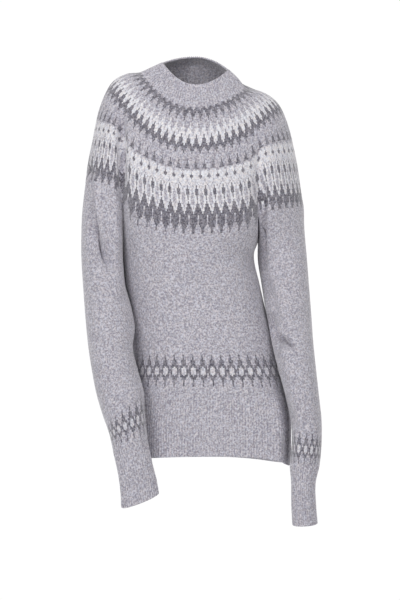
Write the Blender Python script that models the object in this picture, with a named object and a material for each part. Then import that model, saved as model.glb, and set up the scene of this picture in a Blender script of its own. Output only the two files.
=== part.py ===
"""A worn, hollow fair isle sweater: collar, round yoke, body, sleeves, ribbed hem and cuffs.

The cloth is a wall of even thickness on smooth lofts. Three kinds of loft share their edges: the
neck loft runs from the collar's fold to the yoke's lower edge, the body loft from there to the hem,
and each sleeve loft from there to its cuff. The lower edge of the yoke is one loop of four arcs,
front, right arm, back and left arm, which meet at the armpits. Under each arm, body and sleeve
share a curve that dips between the two armpits.

Left and right are as seen from the front. The origin is the middle of the neck at shoulder height,
x runs to the right, y away from the viewer and z up. All sizes below are in millimetres.
"""
from collections import namedtuple
from math import pi

import bmesh
import bpy
import numpy as np

MM = 0.001
WALL = 2.6
SEAM_GAP = 0.3
ROW_HEIGHT = 2.375
PATTERN_CENTRE_X = 1.0

# Columns of quads in each arc of the loops, and outer points for each inner one where ribs are
ARC_COLUMNS = 18
UNDERARM_COLUMNS = 10
COLLAR_POINTS_A_COLUMN = 3
HEM_POINTS_A_COLUMN = 6
CUFF_POINTS_A_COLUMN = 3
RIB_RIDGE = 0.7
RIB_GROOVE = -0.5

# Where the creases of the armpits lie across the yoke's lower edge
LEFT_ARMPIT_X = -147.0
RIGHT_ARMPIT_X = 110.0
CREASE_WIDTH = 11.0
CREASE_ROUNDING = 4.0
ARM_LEVEL_EASE = 7.0
BACK_CREASE_SHARE = 0.8
UNDERARM_GAP = 0.5
ARMPIT_EASE = 1.3
ARMPIT_EASE_REACH = 9.0

# Share of a loop that each arc takes on the rings below the yoke
BODY_PANEL_SHARE = 0.40
BODY_SIDE_SHARE = 0.10
SLEEVE_ARM_SHARE = 0.74

NeckRing = namedtuple("NeckRing", "row left_x right_x front_y back_y left_y right_y "
                      "front_z left_z right_z back_z left_crease right_crease arm_level")
NECK_RINGS = [
    NeckRing(-18, -72, 55, -64, 62, 0, 0, 4, 48, 34, 62, 0, 0, 0),
    NeckRing(-9, -92, 71, -74, 72, 0, 0, -18, 39, 19, 57, 0, 0, 0),
    NeckRing(0, -112, 87, -87, 83, -1, 1, -39, 30, 0, 48, 0, 0, 0),
    NeckRing(12, -138, 114, -97, 94, -2, 2, -66, 27, -6, 22, 0, 0, 0),
    NeckRing(30, -171, 150, -106, 103, -4, 4, -110, 5, -32, -25, 7, 2, 0.1),
    NeckRing(45, -192, 170, -112, 107, -6, 5, -146, -43, -80, -70, 15, 7, 0.5),
    NeckRing(54, -199, 178, -114, 108, -8, 6, -167, -74, -114, -98, 20, 13, 0.75),
    NeckRing(67, -204, 185, -116, 107, -10, 8, -198, -101, -148, -138, 26, 20, 0.75),
    NeckRing(85, -214, 193, -117, 105, -12, 10, -240, -150, -203, -196, 31, 27, 0.7),
    NeckRing(97, -218, 197, -116, 103, -14, 11, -270, -186, -228, -234, 33, 30, 0.6),
]
NECK_POWER = 2.1

BodyRing = namedtuple("BodyRing", "left_x right_x front_y back_y front_z left_z right_z back_z start_x")
BODY_RINGS = [
    BodyRing(-146.5, 103.0, -108, 98, -331, -331, -331, -331, 1),
    BodyRing(-143.5, 112.7, -104, 96, -372, -372, -372, -372, 8),
    BodyRing(-136.0, 124.0, -101, 95, -420, -420, -420, -420, 18),
    BodyRing(-132.0, 142.0, -101, 97, -476, -476, -476, -476, 27),
    BodyRing(-131.0, 158.0, -105, 103, -530, -530, -530, -530, 34),
    BodyRing(-134.0, 164.0, -109, 108, -578, -578, -578, -578, 37),
    BodyRing(-138.5, 170.0, -112, 112, -638, -638, -638, -638, 37),
    BodyRing(-140.5, 169.5, -113, 113, -699, -704, -715, -708, 37),
]
HEM_SEAM_RING = 5
BODY_POWER = 2.15

Sleeve = namedtuple("Sleeve", "name side rings cuff_ring power")
SleeveRing = namedtuple("SleeveRing", "outer_x outer_z inner_x inner_z middle_y half_depth front_drop")
LEFT_RINGS = [
    SleeveRing(-224.2, -255, -146.6, -331, -22, 60, 0),
    SleeveRing(-224.6, -319, -142.8, -372, -34, 58, 0),
    SleeveRing(-220.4, -384, -131.5, -412, -49, 56, 0),
    SleeveRing(-215.6, -445, -123.5, -456, -61, 54, 0),
    SleeveRing(-210.9, -490, -127.3, -494, -70, 52, 0),
    SleeveRing(-204.3, -532, -118.5, -532, -83, 50, 0),
    SleeveRing(-194.8, -580, -106.5, -576, -97, 50, 0),
    SleeveRing(-182.4, -621, -103.6, -617, -106, 47, 0),
    SleeveRing(-169.9, -657, -100.5, -650, -111, 42, 0),
    SleeveRing(-163.4, -686, -98.3, -671, -114, 36, 2),
    SleeveRing(-153.9, -728, -89.8, -712, -116, 31, 3),
    SleeveRing(-149.0, -764, -82.0, -743, -117, 28, 4),
    SleeveRing(-147.6, -792, -78.0, -766, -118, 27, 5),
]
RIGHT_RINGS = [
    SleeveRing(198.6, -274, 110.5, -331, 6, 60, 0),
    SleeveRing(203.3, -331, 117.0, -372, -6, 58, 0),
    SleeveRing(207.1, -384, 122.5, -409, -22, 56, 0),
    SleeveRing(210.9, -437, 130.0, -448, -41, 54, 0),
    SleeveRing(214.0, -485, 137.0, -488, -60, 52, 0),
    SleeveRing(218.5, -530, 147.0, -530, -74, 50, 0),
    SleeveRing(224.2, -583, 160.6, -580, -82, 47, 0),
    SleeveRing(229.1, -631, 170.5, -625, -86, 44, 0),
    SleeveRing(229.1, -671, 173.8, -665, -88, 41, 0),
    SleeveRing(225.3, -712, 170.0, -709, -90, 37, 1),
    SleeveRing(217.4, -747, 172.5, -745, -91, 34, 2),
    SleeveRing(218.1, -789, 172.9, -787, -92, 34, 2),
    SleeveRing(221.0, -823, 174.8, -826, -92, 35, 3),
]
SLEEVES = [
    Sleeve("left", -1, LEFT_RINGS, 9, 2.1),
    Sleeve("right", 1, RIGHT_RINGS, 9, 2.1),
]
UNDERARM_LOW_Z = {-1: -287.0, 1: -291.0}

# Soft troughs pressed into the cloth, each along a line seen from the front, on its front or back
Fold = namedtuple("Fold", "piece on_front start_x start_z end_x end_z depth width")
FOLDS = [
    Fold("sleeve_left", True, -209, -212, -146, -372, 7, 13),
    Fold("sleeve_left", True, -212, -470, -136, -500, 5, 12),
    Fold("sleeve_left", False, -200, -470, -140, -440, 5, 13),
    Fold("sleeve_left", False, -205, -250, -160, -330, 5, 15),
    Fold("sleeve_right", True, 143, -497, 186, -466, 6, 11),
    Fold("sleeve_right", True, 160, -520, 205, -500, 4, 12),
    Fold("sleeve_right", False, 150, -455, 200, -490, 5, 13),
    Fold("sleeve_right", False, 140, -280, 190, -350, 5, 15),
    Fold("body", True, 98, -290, 30, -350, 3, 16),
    Fold("body", True, -130, -330, -70, -390, 3, 16),
    Fold("body", False, -120, -300, -40, -350, 4, 18),
    Fold("body", False, 95, -310, 20, -370, 4, 18),
    Fold("body", False, -110, -480, 90, -500, 4, 20),
]

Finish = namedtuple("Finish", "colour roughness")
KNIT = Finish((0.43, 0.42, 0.46), 0.95)
RIB = Finish((0.40, 0.39, 0.43), 0.95)

LOOP_SAMPLES = 1441
NORMAL_SHARE_STEP = 0.004
NORMAL_KNOT_STEP = 1.0
BODY_ROUND_LENGTH = 740.0


def signed_power(values, power):
    """Raise to a power and keep the sign."""
    return np.sign(values) * np.abs(values) ** power


class Loop:
    """A closed loop that is walked by share of its length from a starting point."""

    def __init__(self, points, start_length):
        steps = np.linalg.norm(np.diff(points, axis=0), axis=1)
        self.lengths = np.concatenate([[0.0], np.cumsum(steps)])
        self.total = self.lengths[-1]
        self.points = points
        self.start_length = start_length

    def at(self, share):
        length = (self.start_length + np.asarray(share) * self.total) % self.total
        return np.stack([np.interp(length, self.lengths, self.points[:, axis]) for axis in range(3)], axis=-1)

    def share_of_x(self, x, on_front):
        """Share at which the front or back of an oval loop passes x, from minus a half to a half."""
        turn = np.linspace(-pi, pi, LOOP_SAMPLES)
        middle = (self.points[:, 0].min() + self.points[:, 0].max()) / 2
        quarter = ((np.cos(turn) > 0) == on_front) & ((np.sin(turn) > 0) == (x > middle))
        order = np.argsort(self.points[quarter, 0])
        length = np.interp(x, self.points[quarter, 0][order], self.lengths[quarter][order])
        return ((length - self.start_length) / self.total + 0.5) % 1.0 - 0.5


def oval_loop(ring, start_x, power):
    """A rounded oval round the trunk, begun at the back, with its own height at each of four sides."""
    turn = np.linspace(-pi, pi, LOOP_SAMPLES)
    sine, cosine = np.sin(turn), np.cos(turn)
    centre_x = (ring.left_x + ring.right_x) / 2
    half_width = (ring.right_x - ring.left_x) / 2
    on_front, on_right = cosine > 0, sine > 0
    side_y = np.where(on_right, getattr(ring, "right_y", 0.0), getattr(ring, "left_y", 0.0))
    reach_y = np.where(on_front, -ring.front_y, ring.back_y)
    x = centre_x + half_width * signed_power(sine, 2 / power)
    y = -reach_y * signed_power(cosine, 2 / power) + side_y * sine ** 2
    end_z = np.where(on_front, ring.front_z, ring.back_z)
    side_z = np.where(on_right, ring.right_z, ring.left_z)
    z = end_z * cosine ** 2 + side_z * sine ** 2
    points = np.stack([x, y, z], axis=-1)
    steps = np.linalg.norm(np.diff(points, axis=0), axis=1)
    lengths = np.concatenate([[0.0], np.cumsum(steps)])
    front = np.abs(turn) <= pi / 2
    return Loop(points, np.interp(start_x, x[front], lengths[front]))


def sleeve_loop(ring, side, power):
    """A rounded oval round an arm, begun at its outer point, counter-clockwise seen from above."""
    turn = np.linspace(0, 2 * pi, LOOP_SAMPLES)
    along = signed_power(np.cos(turn), 2 / power)
    depth = signed_power(np.sin(turn), 2 / power) * side
    x = (ring.outer_x + ring.inner_x) / 2 + (ring.outer_x - ring.inner_x) / 2 * along
    z = (ring.outer_z + ring.inner_z) / 2 + (ring.outer_z - ring.inner_z) / 2 * along
    y = ring.middle_y + ring.half_depth * depth
    z = z + ring.front_drop * depth
    return Loop(np.stack([x, y, z], axis=-1), 0.0)


def crease_shape(distance):
    """One at the bottom of an armpit crease, falling off smoothly on both sides."""
    return np.exp(-(np.sqrt(distance ** 2 + CREASE_ROUNDING ** 2) - CREASE_ROUNDING) / CREASE_WIDTH)


class NeckRow:
    """One ring of the neck loft, creased at the armpits and nearly level over each arm."""

    def __init__(self, ring):
        self.ring = ring
        self.loop = oval_loop(ring, PATTERN_CENTRE_X, NECK_POWER)

    def at(self, share):
        points = self.loop.at(share)
        left = self.ring.left_crease * crease_shape(points[..., 0] - LEFT_ARMPIT_X)
        right = self.ring.right_crease * crease_shape(points[..., 0] - RIGHT_ARMPIT_X)
        inward = np.where(points[..., 1] < 0, 1.0, -BACK_CREASE_SHARE)
        flat = np.clip(np.abs(points[..., 1]) / 30.0, 0, 1)
        points[..., 1] += (left + right) * inward * flat
        on_left = 1 / (1 + np.exp((points[..., 0] - LEFT_ARMPIT_X) / ARM_LEVEL_EASE))
        on_right = 1 / (1 + np.exp((RIGHT_ARMPIT_X - points[..., 0]) / ARM_LEVEL_EASE))
        drop = on_left * (self.ring.left_z - points[..., 2]) + on_right * (self.ring.right_z - points[..., 2])
        points[..., 2] += self.ring.arm_level * drop
        return points


NECK_ROWS = [NeckRow(ring) for ring in NECK_RINGS]
NECK_KNOTS = np.array([ring.row * ROW_HEIGHT for ring in NECK_RINGS])
LOWER_EDGE = NECK_ROWS[-1]
ARMPIT = {
    (side, on_front): LOWER_EDGE.loop.share_of_x(x, on_front)
    for side, x in ((-1, LEFT_ARMPIT_X), (1, RIGHT_ARMPIT_X))
    for on_front in (True, False)
}
LEFT_FRONT = ARMPIT[(-1, True)]
RIGHT_FRONT = ARMPIT[(1, True)]
RIGHT_BACK = ARMPIT[(1, False)] % 1.0
LEFT_BACK = ARMPIT[(-1, False)] % 1.0
LEFT_FRONT_NEXT = LEFT_FRONT + 1.0


def underarm(side, part, toward):
    """Curve under an arm from its front armpit at part 0 to the back one at 1, moved along x."""
    front = LOWER_EDGE.at(LEFT_FRONT if side < 0 else RIGHT_FRONT)
    back = LOWER_EDGE.at(LEFT_BACK if side < 0 else RIGHT_BACK)
    part = np.asarray(part)[..., None]
    points = front + (back - front) * part
    dip = np.sin(pi * part[..., 0]) ** 0.85
    points[..., 2] += (UNDERARM_LOW_Z[side] - (front[2] + back[2]) / 2) * dip
    points[..., 0] += toward * UNDERARM_GAP / 2
    return points


def body_share_to_yoke(share):
    """Yoke share above a body share, and where on an underarm curve it lies, or minus one."""
    share = np.asarray(share) % 1.0
    panel, side = BODY_PANEL_SHARE, BODY_SIDE_SHARE
    knots = [0, panel, panel + side, 2 * panel + side, 1]
    yoke = np.interp(share, knots, [LEFT_FRONT, RIGHT_FRONT, RIGHT_BACK, LEFT_BACK, LEFT_FRONT_NEXT])
    right = (share - panel) / side
    left = 1 - (share - 2 * panel - side) / side
    return yoke, right, left


class BodyTop:
    """Top loop of the body: the yoke's front and back arcs and the two underarm curves."""

    def at(self, share):
        yoke, right, left = body_share_to_yoke(share)
        points = LOWER_EDGE.at(yoke)
        points = np.where(((right > 0) & (right < 1))[..., None], underarm(1, right.clip(0, 1), -1), points)
        return np.where(((left > 0) & (left < 1))[..., None], underarm(-1, left.clip(0, 1), 1), points)


class BodyRow:
    """One ring of the body loft, walked so that its panels hang below the yoke's arcs."""

    def __init__(self, ring):
        self.loop = oval_loop(ring, ring.start_x, BODY_POWER)
        self.offset = BODY_PANEL_SHARE * LEFT_FRONT / (LEFT_FRONT - RIGHT_FRONT)

    def at(self, share):
        return self.loop.at(np.asarray(share) - self.offset)


def sleeve_share_to_yoke(side, share):
    """Yoke share above a sleeve share, and its place on the underarm curve beyond the arm's arc."""
    share = np.asarray(share) % 1.0
    start, end = (RIGHT_FRONT, RIGHT_BACK) if side > 0 else (LEFT_BACK, LEFT_FRONT_NEXT)
    yoke = start + (end - start) * np.clip(share / SLEEVE_ARM_SHARE, 0, 1)
    beyond = (share - SLEEVE_ARM_SHARE) / (1 - SLEEVE_ARM_SHARE)
    return yoke, (1 - beyond if side > 0 else beyond), beyond


class SleeveTop:
    """Top loop of a sleeve: the yoke's arc over the arm and the underarm curve."""

    def __init__(self, side):
        self.side = side

    def at(self, share):
        yoke, part, beyond = sleeve_share_to_yoke(self.side, share)
        below = underarm(self.side, part.clip(0, 1), self.side)
        return np.where((beyond > 0)[..., None], below, LOWER_EDGE.at(yoke))


class SleeveRow:
    """One ring of a sleeve loft, with its outer point in the middle of the arm's arc."""

    def __init__(self, ring, side, power):
        self.loop = sleeve_loop(ring, side, power)

    def at(self, share):
        return self.loop.at(np.asarray(share) - SLEEVE_ARM_SHARE / 2)


class Loft:
    """Smooth surface through rows of points: at(share, knot) gives points of a grid."""

    def __init__(self, rows, knots, row_before=None, row_after=None):
        self.rows = rows
        self.knots = np.asarray(knots, float)
        self.row_before = row_before
        self.row_after = row_after

    def at(self, share, knot):
        """Points for each knot along the columns (first axis) and each share round (second axis)."""
        share = np.asarray(share, float)
        knot = np.broadcast_to(np.asarray(knot, float), np.broadcast_shapes(np.shape(knot), (1, len(share))))
        rows = np.array([row.at(share) for row in self.rows])
        gaps = np.diff(self.knots)[:, None, None]
        slopes = np.diff(rows, axis=0) / gaps
        tangents = np.empty_like(rows)
        weight = gaps[1:] / (gaps[1:] + gaps[:-1])
        tangents[1:-1] = weight * slopes[:-1] + (1 - weight) * slopes[1:]
        tangents[0] = slopes[0] if self.row_before is None else self.row_before(share, rows, gaps)
        tangents[-1] = slopes[-1] if self.row_after is None else self.row_after(share, rows, gaps)
        index = np.clip(np.searchsorted(self.knots, knot, side="right") - 1, 0, len(gaps) - 1)
        columns = np.arange(len(share))[None, :]
        step = (knot - self.knots[index])[..., None]
        width = np.diff(self.knots)[index][..., None]
        part = step / width
        first, second = rows[index, columns], rows[index + 1, columns]
        first_slope, second_slope = tangents[index, columns], tangents[index + 1, columns]
        return (first * (2 * part ** 3 - 3 * part ** 2 + 1) + second * (3 * part ** 2 - 2 * part ** 3)
                + first_slope * width * (part ** 3 - 2 * part ** 2 + part)
                + second_slope * width * (part ** 3 - part ** 2))


def ring_centre(ring):
    """Middle of a sleeve ring."""
    return np.array([(ring.outer_x + ring.inner_x) / 2, ring.middle_y, (ring.outer_z + ring.inner_z) / 2])


def body_loft():
    """Loft from the yoke's lower edge to the hem. Its knots are mean heights below the origin."""
    top = BodyTop()
    rows = [top] + [BodyRow(ring) for ring in BODY_RINGS]
    mean_top = -top.at(np.linspace(0, 1, 200, endpoint=False))[:, 2].mean()
    knots = [mean_top] + [-(ring.front_z + ring.left_z + ring.right_z + ring.back_z) / 4 for ring in BODY_RINGS]

    def slope_at_top(share, points, gaps):
        yoke, right, left = body_share_to_yoke(share)
        under = ((right > 0) & (right < 1)) | ((left > 0) & (left < 1))
        above = NECK_ROWS[-2].at(yoke)
        yoke_gap = NECK_KNOTS[-1] - NECK_KNOTS[-2]
        through = (points[1] - above) / (gaps[0] + yoke_gap)
        return np.where(under[..., None], (points[1] - points[0]) / gaps[0], through)

    return Loft(rows, knots, row_before=slope_at_top)


def sleeve_loft(sleeve):
    """Loft from the yoke's lower edge to the cuff's end. Its knots are lengths along the arm."""
    top = SleeveTop(sleeve.side)
    rows = [top] + [SleeveRow(ring, sleeve.side, sleeve.power) for ring in sleeve.rings]
    centres = [top.at(np.linspace(0, 1, 200, endpoint=False)).mean(axis=0)]
    centres += [ring_centre(ring) for ring in sleeve.rings]
    knots = np.concatenate([[0.0], np.cumsum(np.linalg.norm(np.diff(centres, axis=0), axis=1))])

    def slope_at_top(share, points, gaps):
        yoke, _, beyond = sleeve_share_to_yoke(sleeve.side, share)
        above = NECK_ROWS[-2].at(yoke)
        yoke_gap = NECK_KNOTS[-1] - NECK_KNOTS[-2]
        through = (points[1] - above) / (gaps[0] + yoke_gap)
        return np.where((beyond > 0)[..., None], (points[1] - points[0]) / gaps[0], through)

    return Loft(rows, knots, row_before=slope_at_top)


def neck_loft(body, sleeves):
    """Loft from the collar's fold to the yoke's lower edge. Its knots are heights of knitted rows."""

    def slope_at_end(share, points, gaps):
        share = np.asarray(share) % 1.0
        share = np.where(share > LEFT_FRONT % 1.0, share - 1.0, share)
        panel, side = BODY_PANEL_SHARE, BODY_SIDE_SHARE
        front = np.interp(share, [LEFT_FRONT, RIGHT_FRONT], [0, panel])
        back = np.interp(share, [RIGHT_BACK, LEFT_BACK], [panel + side, 2 * panel + side])
        slope = np.empty_like(points[-1])
        arcs = {
            "front": (share <= RIGHT_FRONT, body, front),
            "right": ((share > RIGHT_FRONT) & (share < RIGHT_BACK), sleeves[1], np.interp(
                share, [RIGHT_FRONT, RIGHT_BACK], [0, SLEEVE_ARM_SHARE])),
            "back": ((share >= RIGHT_BACK) & (share <= LEFT_BACK), body, back),
            "left": (share > LEFT_BACK, sleeves[0], np.interp(
                share, [LEFT_BACK, LEFT_FRONT_NEXT], [0, SLEEVE_ARM_SHARE])),
        }
        for inside, below, below_share in arcs.values():
            gap = below.knots[1] - below.knots[0]
            through = (below.rows[1].at(below_share) - points[-2]) / (gap + gaps[-1])
            slope[inside] = through[inside]
        return slope

    return Loft(NECK_ROWS, NECK_KNOTS, row_after=slope_at_end)


def fold_depth(piece, points):
    """How far the soft troughs of one piece press its points in."""
    depth = np.zeros(points.shape[:-1])
    middle_y = points[..., 1].mean(axis=-1, keepdims=True)
    for fold in FOLDS:
        if fold.piece != piece:
            continue
        start = np.array([fold.start_x, fold.start_z])
        line = np.array([fold.end_x, fold.end_z]) - start
        place = points[..., [0, 2]] - start
        along = np.clip((place @ line) / (line @ line), 0, 1)
        distance = np.linalg.norm(place - along[..., None] * line, axis=-1)
        shape = np.exp(-(distance / fold.width) ** 2) * np.sin(pi * np.clip(along, 0.02, 0.98)) ** 0.6
        facing = (middle_y - points[..., 1]) * (1 if fold.on_front else -1)
        depth += fold.depth * shape * np.clip(facing / 20.0, 0, 1)
    return depth


def surface(piece, loft, share, knot):
    """Points of a loft with its soft troughs, and the outward normals there."""
    across = loft.at(share + NORMAL_SHARE_STEP, knot) - loft.at(share - NORMAL_SHARE_STEP, knot)
    down = loft.at(share, knot + NORMAL_KNOT_STEP) - loft.at(share, knot - NORMAL_KNOT_STEP)
    normals = np.cross(down, across)
    normals /= np.linalg.norm(normals, axis=-1, keepdims=True)
    points = loft.at(share, knot)
    return points - normals * fold_depth(piece, points)[..., None], normals


def bridge(bm, outer, inner, points_a_column, closed, flipped):
    """Faces of a rim between a row of outer points and a row of fewer inner ones."""
    columns = len(inner) if closed else len(inner) - 1
    for column in range(columns):
        near, far = inner[column], inner[(column + 1) % len(inner)]
        first = column * points_a_column
        span = [outer[(first + k) % len(outer)] for k in range(points_a_column + 1)]
        half = points_a_column // 2
        faces = [(near, span[k + 1], span[k]) for k in range(half)]
        if points_a_column == 1:
            faces = [(near, far, span[1], span[0])]
        else:
            faces += [(near, far, span[half])]
            faces += [(far, span[k + 1], span[k]) for k in range(half, points_a_column)]
        for face in faces:
            bm.faces.new(face[::-1] if flipped else face)


def skin(bm, grid, closed, flipped):
    """Quads between the rows of a grid of vertices."""
    columns = len(grid[0]) if closed else len(grid[0]) - 1
    for upper, lower in zip(grid, grid[1:]):
        for column in range(columns):
            after = (column + 1) % len(upper)
            face = (upper[column], lower[column], lower[after], upper[after])
            bm.faces.new(face[::-1] if flipped else face)


def wall_object(name, outer, inner, points_a_column, closed, finish):
    """A closed wall between an outer and an inner grid of points."""
    bm = bmesh.new()
    outer_grid = [[bm.verts.new(point * MM) for point in row] for row in outer]
    inner_grid = [[bm.verts.new(point * MM) for point in row] for row in inner]
    skin(bm, outer_grid, closed, False)
    skin(bm, inner_grid, closed, True)
    bridge(bm, outer_grid[0], inner_grid[0], points_a_column, closed, True)
    bridge(bm, outer_grid[-1], inner_grid[-1], points_a_column, closed, False)
    if not closed:
        for end, turned in ((0, False), (-1, True)):
            outer_end = [row[end] for row in outer_grid]
            inner_end = [row[end] for row in inner_grid]
            skin(bm, [inner_end, outer_end] if turned else [outer_end, inner_end], False, False)
    bmesh.ops.triangulate(bm, faces=bm.faces[:])
    mesh = bpy.data.meshes.new(name)
    bm.to_mesh(mesh)
    bm.free()
    mesh.shade_smooth()
    mesh.materials.append(material(name, finish))
    piece = bpy.data.objects.new(name, mesh)
    bpy.data.collections["sweater"].objects.link(piece)
    return piece


def material(name, finish):
    """A Principled material of a piece's own."""
    made = bpy.data.materials.new(name)
    made.use_nodes = True
    shader = made.node_tree.nodes["Principled BSDF"]
    shader.inputs["Base Color"].default_value = (*finish.colour, 1.0)
    shader.inputs["Roughness"].default_value = finish.roughness
    shader.inputs["Metallic"].default_value = 0.0
    return made


def plain_wall(name, loft, shares, knots, closed, finish=KNIT, folds=None):
    """A wall whose inside follows its outside point for point."""
    outer, normals = surface(folds or name, loft, shares, knots)
    return wall_object(name, outer, outer - normals * WALL, 1, closed, finish)


def ribbed_wall(name, loft, shares, knots, points_a_column, closed, folds=None):
    """A wall with ribs raised in its outer points, over a plain inside with fewer columns."""
    outer, normals = surface(folds or name, loft, shares, knots)
    count = len(shares)
    relief = np.where(np.arange(count) % 2 == 0, RIB_RIDGE, RIB_GROOVE)
    ribs = outer + normals * relief[None, :, None]
    inner = (outer - normals * WALL)[:, ::points_a_column]
    return wall_object(name, ribs, inner, points_a_column, closed, RIB)


def yoke_shares(points_a_column):
    """Shares of the yoke's columns: as many in each of its four arcs."""
    corners = [LEFT_FRONT, RIGHT_FRONT, RIGHT_BACK, LEFT_BACK, LEFT_FRONT_NEXT]
    count = ARC_COLUMNS * points_a_column
    arcs = [np.linspace(a, b, count, endpoint=False) for a, b in zip(corners, corners[1:])]
    return np.concatenate(arcs)


def yoke_end(shares):
    """Knot of the yoke's last row, which keeps a little more clear of the armpits."""
    points = LOWER_EDGE.at(shares)
    ease = np.zeros(len(shares))
    for share in (LEFT_FRONT, RIGHT_FRONT, RIGHT_BACK, LEFT_BACK):
        distance = np.linalg.norm(points - LOWER_EDGE.at(share), axis=-1)
        ease = np.maximum(ease, np.exp(-(distance / ARMPIT_EASE_REACH) ** 2))
    return NECK_KNOTS[-1] - SEAM_GAP / 2 - ARMPIT_EASE * ease


def rows_between(first, last, count):
    """Knots of the rows of a piece, as one column."""
    return np.linspace(first, last, count + 1)[:, None]


def build_collar_and_yoke(neck):
    collar_rows = rows_between(NECK_KNOTS[0], -SEAM_GAP / 2, 3)
    ribbed_wall("collar", neck, yoke_shares(COLLAR_POINTS_A_COLUMN), collar_rows,
                COLLAR_POINTS_A_COLUMN, True)
    shares = yoke_shares(1)
    part = np.linspace(0, 1, 13)[:, None]
    first = SEAM_GAP / 2
    plain_wall("yoke", neck, shares, first + (yoke_end(shares)[None, :] - first) * part, True)


def body_shares(is_front, points_a_column):
    """Shares of a body panel's columns, from the seam under one arm to the other."""
    panel, side = BODY_PANEL_SHARE, BODY_SIDE_SHARE
    start = -side / 2 if is_front else panel + side / 2
    half = UNDERARM_COLUMNS // 2 * points_a_column
    gap = SEAM_GAP / 2 / BODY_ROUND_LENGTH
    return np.concatenate([
        np.linspace(start + gap, start + side / 2, half, endpoint=False),
        np.linspace(start + side / 2, start + side / 2 + panel, ARC_COLUMNS * points_a_column, endpoint=False),
        np.linspace(start + side / 2 + panel, start + side + panel - gap, half + 1),
    ])


def build_body(body):
    seam = body.knots[HEM_SEAM_RING + 1]
    for is_front, place in ((True, "front"), (False, "back")):
        shares = body_shares(is_front, 1)
        rows = rows_between(body.knots[0] + SEAM_GAP / 2, seam - SEAM_GAP / 2, 10)
        plain_wall(place + "_body", body, shares, rows, False, folds="body")
        rows = rows_between(seam + SEAM_GAP / 2, body.knots[-1], 2)
        ribbed_wall("hem_rib_" + place, body, body_shares(is_front, HEM_POINTS_A_COLUMN), rows,
                    HEM_POINTS_A_COLUMN, False, folds="body")


def sleeve_shares(points_a_column):
    """Shares of a sleeve's columns: the arc over the arm, then the underarm curve."""
    arm = np.linspace(0, SLEEVE_ARM_SHARE, ARC_COLUMNS * points_a_column, endpoint=False)
    under = np.linspace(SLEEVE_ARM_SHARE, 1, UNDERARM_COLUMNS * points_a_column, endpoint=False)
    return np.concatenate([arm, under])


def build_sleeve(sleeve, loft):
    seam = loft.knots[sleeve.cuff_ring + 1]
    name = "sleeve_" + sleeve.name
    rows = rows_between(SEAM_GAP / 2, seam - SEAM_GAP / 2, 15)
    plain_wall(name, loft, sleeve_shares(1), rows, True)
    rows = rows_between(seam + SEAM_GAP / 2, loft.knots[-1], 4)
    ribbed_wall("cuff_" + sleeve.name, loft, sleeve_shares(CUFF_POINTS_A_COLUMN), rows,
                CUFF_POINTS_A_COLUMN, True, folds=name)


def main():
    for old in list(bpy.data.objects):
        bpy.data.objects.remove(old, do_unlink=True)
    collection = bpy.data.collections.new("sweater")
    bpy.context.scene.collection.children.link(collection)
    body = body_loft()
    sleeves = [sleeve_loft(sleeve) for sleeve in SLEEVES]
    build_collar_and_yoke(neck_loft(body, sleeves))
    build_body(body)
    for sleeve, loft in zip(SLEEVES, sleeves):
        build_sleeve(sleeve, loft)


main()
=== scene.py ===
"""Looks of the worn fair isle sweater: knitted stitches on the form of the part.

Each piece is a thin shell. Its outside has a ridge for each column of stitches, and every stitch
takes its yarn, grey, dark, light or pale, from a small charted repeat. Left and right are
as seen from the front. All sizes are in millimetres, but for the studio's and the wool's: x runs to
the right, y away from the viewer and z up.
"""
from collections import namedtuple
from math import pi, radians

import bpy
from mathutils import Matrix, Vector
import numpy as np


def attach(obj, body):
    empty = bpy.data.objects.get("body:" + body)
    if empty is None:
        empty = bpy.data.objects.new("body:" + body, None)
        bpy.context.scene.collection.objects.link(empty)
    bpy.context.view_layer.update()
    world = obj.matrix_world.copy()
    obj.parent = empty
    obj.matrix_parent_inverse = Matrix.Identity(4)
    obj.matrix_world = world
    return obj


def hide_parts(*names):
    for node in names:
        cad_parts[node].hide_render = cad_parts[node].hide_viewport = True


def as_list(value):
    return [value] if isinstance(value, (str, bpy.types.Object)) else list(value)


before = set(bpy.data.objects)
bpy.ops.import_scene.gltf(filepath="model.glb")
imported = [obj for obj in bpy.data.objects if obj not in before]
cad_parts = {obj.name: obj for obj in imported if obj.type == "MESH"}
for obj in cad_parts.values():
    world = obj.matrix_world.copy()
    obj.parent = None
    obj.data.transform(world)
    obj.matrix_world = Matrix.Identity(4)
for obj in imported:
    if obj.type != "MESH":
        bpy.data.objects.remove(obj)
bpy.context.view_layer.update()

MM = 0.001
WALL = 2.6
ROW_HEIGHT = 2.375

# Where the creases of the armpits lie across the yoke's lower edge
LEFT_ARMPIT_X = -147.0
RIGHT_ARMPIT_X = 110.0
CREASE_WIDTH = 11.0
CREASE_ROUNDING = 4.0
ARM_LEVEL_EASE = 7.0
BACK_CREASE_SHARE = 0.8
CREASE_FADE_DEPTH = 30.0
UNDERARM_GAP = 0.5
UNDERARM_FULLNESS = 0.85

# Share of a loop that each arc takes on the rings below the yoke
BODY_PANEL_SHARE = 0.40
BODY_SIDE_SHARE = 0.10
SLEEVE_ARM_SHARE = 0.74

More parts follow.
